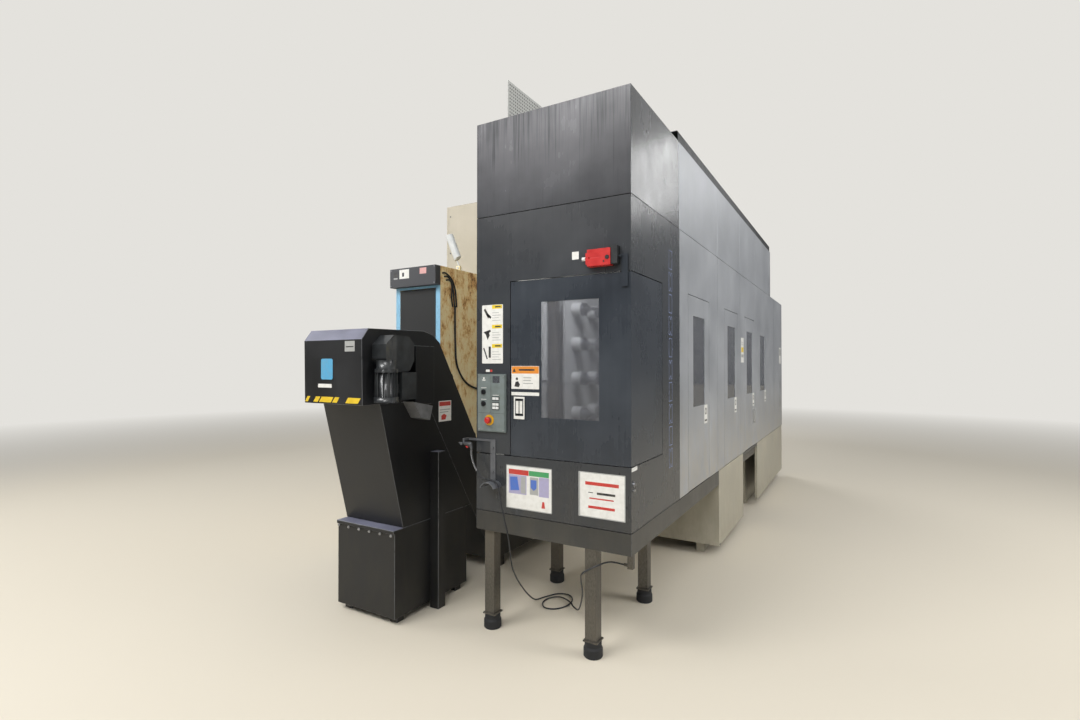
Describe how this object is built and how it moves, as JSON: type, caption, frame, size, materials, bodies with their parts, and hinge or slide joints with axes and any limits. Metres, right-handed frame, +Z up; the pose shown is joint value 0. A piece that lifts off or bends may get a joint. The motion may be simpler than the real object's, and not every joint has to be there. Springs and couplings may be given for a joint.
{
  "type": "cnc machining center with tool magazine tower",
  "caption": "Enclosed machining cell with a matrix tool magazine tower on legs, glazed service doors, a button panel, an inclined chip conveyor, a tank and a switch cabinet.",
  "frame": {"origin": "middle of the footprint's bounding box, on the floor", "axes": "+Z up; +Y along the flank, away from the dark end with the button panel; +X out of the flank with the service doors"},
  "size_m": [2.922, 6.654, 3.432],
  "materials": {
    "frame_paint": "dark grey powder coat on square tube",
    "foot_rubber": "black rubber",
    "black_panel": "black fine texture enamel",
    "sill_paint": "mid grey enamel, worn",
    "grey_panel": "light metallic grey enamel",
    "skirt_paint": "light grey enamel, dusty",
    "back_paint": "pale grey enamel",
    "duct_black": "black moulded plastic",
    "pane_tint": "tinted polycarbonate, clear",
    "switch_red": "red moulded plastic",
    "key_panel": "grey green membrane on plastic",
    "bare_steel": "zinc plated steel strip",
    "gun_metal": "die cast aluminium, worn",
    "trigger_red": "red plastic",
    "hose_black": "black rubber hose",
    "latch_black": "black plastic",
    "cap_white": "white plastic",
    "stop_red": "red plastic",
    "rack_paint": "pale grey paint",
    "tool_steel": "ground tool steel",
    "lift_paint": "dark blue grey paint",
    "gripper_paint": "orange paint",
    "bed_iron": "painted cast iron",
    "column_paint": "off white paint on cast iron",
    "spindle_steel": "ground and hardened steel",
    "table_iron": "milled cast iron",
    "cell_paint": "beige enamel",
    "door_grey": "grey enamel",
    "pendant_dark": "dark grey enamel",
    "conveyor_black": "black enamel, scuffed",
    "chain_steel": "oiled steel plates",
    "shaft_steel": "turned steel",
    "motor_black": "black painted castings",
    "cabinet_paint": "cream enamel, stained",
    "cabinet_dark": "black enamel",
    "lamp_white": "white coated aluminium"
  },
  "bodies": {
    "machine": {"tower_frame": "frame_paint", "foot_pads": "foot_rubber", "end_upper_panel": "black_panel", "end_mid_panel": "black_panel", "end_lower_panel": "black_panel", "end_sill_panel": "sill_paint", "flank_upper_panels": "grey_panel", "flank_mid_panels": "grey_panel", "flank_sill_panel": "sill_paint", "flank_fixed_window": "pane_tint", "base_skirts": "skirt_paint", "tower_back_panels": "back_paint", "roof_cable_duct": "duct_black", "interlock_switch": "switch_red", "button_panel": "key_panel", "hook_bracket": "bare_steel", "air_gun": "gun_metal", "air_hose": "hose_black", "tool_rack": "rack_paint", "tool_holders": "tool_steel", "machine_bed": "bed_iron", "cell_panels": "cell_paint", "conveyor_casing": "conveyor_black", "conveyor_belt": "chain_steel", "gearmotor": "motor_black", "cabinet": "cabinet_paint", "coolant_tank": "conveyor_black"},
    "loading_door": {"loading_door": "black_panel", "loading_window": "pane_tint"},
    "loading_latch": {"loading_latch": "latch_black"},
    "air_gun_trigger": {"air_gun_trigger": "trigger_red"},
    "flank_door_1": {"flank_door_1": "grey_panel", "flank_window_1": "pane_tint"},
    "flank_door_2": {"flank_door_2": "grey_panel", "flank_window_2": "pane_tint"},
    "flank_door_3": {"flank_door_3": "grey_panel", "flank_window_3": "pane_tint"},
    "estop_button": {"estop_button": "stop_red"},
    "selector_knob_1": {"selector_knob_1": "latch_black"},
    "selector_knob_2": {"selector_knob_2": "latch_black"},
    "shuttle_column": {"shuttle_column": "rack_paint"},
    "shuttle_lift": {"shuttle_lift": "lift_paint"},
    "tool_gripper": {"tool_gripper": "gripper_paint"},
    "machine_column": {"machine_column": "column_paint"},
    "spindle_head": {"spindle_head": "column_paint"},
    "spindle": {"spindle": "spindle_steel"},
    "table_saddle": {"table_saddle": "table_iron"},
    "rotary_table": {"rotary_table": "table_iron"},
    "cell_door": {"cell_door": "door_grey", "cell_window": "pane_tint"},
    "control_pendant": {"control_pendant": "pendant_dark"},
    "conveyor_drive": {"conveyor_drive": "shaft_steel"},
    "cabinet_door": {"cabinet_door": "cabinet_dark"},
    "work_lamp": {"work_lamp": "lamp_white"},
    "push_button_1": {"push_button_1": "cap_white"},
    "push_button_2": {"push_button_2": "cap_white"},
    "push_button_3": {"push_button_3": "cap_white"},
    "push_button_4": {"push_button_4": "cap_white"},
    "push_button_5": {"push_button_5": "cap_white"},
    "push_button_6": {"push_button_6": "cap_white"}
  },
  "joints": [
    {"name": "loading_door_swing", "type": "hinge", "parent": "machine", "child": "loading_door", "pos_m": [1.431, -2.332, 1.55], "axis": [0, 0, 1], "range_deg": [0, 100]},
    {"name": "loading_latch_pull", "type": "hinge", "parent": "loading_door", "child": "loading_latch", "pos_m": [0.764, -2.817, 1.36], "axis": [-1, 0, 0], "range_deg": [0, 30], "stiffness_Nm_per_rad": 0.4},
    {"name": "flank_door_1_swing", "type": "hinge", "parent": "machine", "child": "flank_door_1", "pos_m": [1.431, -1.75, 1.4], "axis": [0, 0, -1], "range_deg": [0, 110]},
    {"name": "flank_door_2_swing", "type": "hinge", "parent": "machine", "child": "flank_door_2", "pos_m": [1.431, -0.626, 1.4], "axis": [0, 0, -1], "range_deg": [0, 110]},
    {"name": "flank_door_3_swing", "type": "hinge", "parent": "machine", "child": "flank_door_3", "pos_m": [1.431, 0.287, 1.4], "axis": [0, 0, -1], "range_deg": [0, 110]},
    {"name": "cabinet_door_swing", "type": "hinge", "parent": "machine", "child": "cabinet_door", "pos_m": [-0.998, -1.964, 1.2], "axis": [0, 0, -1], "range_deg": [0, 110]},
    {"name": "air_gun_trigger_squeeze", "type": "hinge", "parent": "machine", "child": "air_gun_trigger", "pos_m": [0.441, -2.88, 1.0808], "axis": [0, 1, 0], "range_deg": [0, 6], "stiffness_Nm_per_rad": 0.5},
    {"name": "push_button_1_press", "type": "slide", "parent": "machine", "child": "push_button_1", "axis": [0, 1, 0], "range_m": [0, 0.002], "stiffness_N_per_m": 600},
    {"name": "push_button_2_press", "type": "slide", "parent": "machine", "child": "push_button_2", "axis": [0, 1, 0], "range_m": [0, 0.002], "stiffness_N_per_m": 600},
    {"name": "push_button_3_press", "type": "slide", "parent": "machine", "child": "push_button_3", "axis": [0, 1, 0], "range_m": [0, 0.002], "stiffness_N_per_m": 600},
    {"name": "push_button_4_press", "type": "slide", "parent": "machine", "child": "push_button_4", "axis": [0, 1, 0], "range_m": [0, 0.002], "stiffness_N_per_m": 600},
    {"name": "push_button_5_press", "type": "slide", "parent": "machine", "child": "push_button_5", "axis": [0, 1, 0], "range_m": [0, 0.002], "stiffness_N_per_m": 600},
    {"name": "push_button_6_press", "type": "slide", "parent": "machine", "child": "push_button_6", "axis": [0, 1, 0], "range_m": [0, 0.002], "stiffness_N_per_m": 600},
    {"name": "selector_knob_1_turn", "type": "hinge", "parent": "machine", "child": "selector_knob_1", "pos_m": [0.523, -2.838, 1.404], "axis": [0, -1, 0], "range_deg": [-45, 45]},
    {"name": "selector_knob_2_turn", "type": "hinge", "parent": "machine", "child": "selector_knob_2", "pos_m": [0.523, -2.838, 1.336], "axis": [0, -1, 0], "range_deg": [-45, 45]},
    {"name": "estop_press", "type": "slide", "parent": "machine", "child": "estop_button", "axis": [0, 1, 0], "range_m": [0, 0.005], "stiffness_N_per_m": 2000},
    {"name": "shuttle_travel", "type": "slide", "parent": "machine", "child": "shuttle_column", "axis": [0, 1, 0], "range_m": [-0.3, 2.4]},
    {"name": "shuttle_raise", "type": "slide", "parent": "shuttle_column", "child": "shuttle_lift", "axis": [0, 0, 1], "range_m": [0, 1.1]},
    {"name": "gripper_turn", "type": "hinge", "parent": "shuttle_lift", "child": "tool_gripper", "pos_m": [0.989, -1.322, 0.9], "axis": [0, 0, 1], "range_deg": [0, 180]},
    {"name": "column_travel", "type": "slide", "parent": "machine", "child": "machine_column", "axis": [1, 0, 0], "range_m": [-0.35, 0.35]},
    {"name": "head_raise", "type": "slide", "parent": "machine_column", "child": "spindle_head", "axis": [0, 0, 1], "range_m": [0, 0.7]},
    {"name": "spindle_turn", "type": "hinge", "parent": "spindle_head", "child": "spindle", "pos_m": [-0.501, 0.578, 1.25], "axis": [0, 1, 0], "continuous": true},
    {"name": "table_travel", "type": "slide", "parent": "machine", "child": "table_saddle", "axis": [0, 1, 0], "range_m": [-0.25, 0.7]},
    {"name": "table_turn", "type": "hinge", "parent": "table_saddle", "child": "rotary_table", "pos_m": [-0.501, 1.678, 0.6], "axis": [0, 0, 1], "continuous": true},
    {"name": "cell_door_slide", "type": "slide", "parent": "machine", "child": "cell_door", "axis": [-1, 0, 0], "range_m": [0, 0.75]},
    {"name": "pendant_swing", "type": "hinge", "parent": "machine", "child": "control_pendant", "pos_m": [1.139, 3.238, 1.36], "axis": [0, 0, -1], "range_deg": [0, 100]},
    {"name": "conveyor_drive_turn", "type": "hinge", "parent": "machine", "child": "conveyor_drive", "pos_m": [-0.211, -3.122, 1.63], "axis": [1, 0, 0], "continuous": true},
    {"name": "lamp_tilt", "type": "hinge", "parent": "machine", "child": "work_lamp", "pos_m": [-0.601, -1.672, 2.416], "axis": [0, 1, 0], "range_deg": [-20, 20]}
  ]
}
